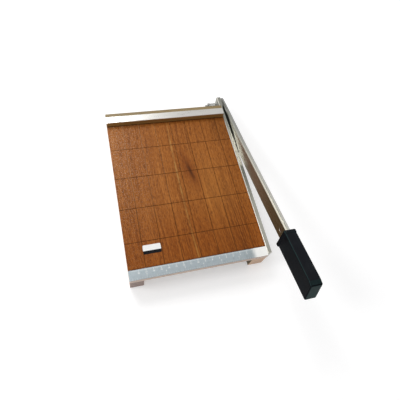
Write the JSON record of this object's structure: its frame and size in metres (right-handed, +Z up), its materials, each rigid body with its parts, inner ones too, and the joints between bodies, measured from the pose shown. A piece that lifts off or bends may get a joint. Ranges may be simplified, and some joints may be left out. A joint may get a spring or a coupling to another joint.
{
  "type": "paper trimmer",
  "caption": "Desk paper trimmer: ruled wooden board on runners with a fence and metal rules, a steel bed knife, and a curved blade arm with a handle on a sprung pivot bolt.",
  "frame": {"origin": "middle of the footprint's box, on the table that the runners stand on", "axes": "+X to the right as seen by the user, +Y along the cut away from the user, +Z up"},
  "size_m": [0.2102, 0.3722, 0.1166],
  "materials": {
    "board_veneer": "satin varnish over a reddish-brown lengthwise grain",
    "runner_wood": "plain sanded hardwood",
    "fence_wood": "varnished golden-tan hardwood",
    "rear_rule_metal": "bright brushed strip",
    "front_rule_metal": "brushed strip with centimetre marks",
    "label": "bare white label with a dark band",
    "bed_steel": "ground steel",
    "blade_steel": "ground steel with a bright bevel",
    "bar_steel": "ground steel",
    "hardware": "plain steel",
    "spring_steel": "bright spring wire",
    "handle_plastic": "black moulded plastic with a soft sheen"
  },
  "bodies": {
    "base": {"board": "board_veneer", "left_runner": "runner_wood", "right_runner": "runner_wood", "runner_screws": "hardware", "rear_fence": "fence_wood", "fence_screws": "hardware", "rear_rule": "rear_rule_metal", "front_rule": "front_rule_metal", "label_plate": "label", "bed_knife": "bed_steel", "bed_knife_screws": "hardware", "pivot_bolt": "hardware", "spacing_washer": "hardware", "spring_seat_washer": "hardware", "pivot_spring": "spring_steel", "nut_washer": "hardware", "pivot_nut": "hardware"},
    "arm": {"blade": "blade_steel", "arm_bar": "bar_steel", "blade_screw": "hardware", "handle": "handle_plastic", "handle_screw": "hardware"}
  },
  "joints": [
    {"name": "arm_hinge", "type": "hinge", "parent": "base", "child": "arm", "pos_m": [0.0984, 0.1684, 0.0239], "axis": [-1, 0, 0], "range_deg": [-12, 60]}
  ]
}
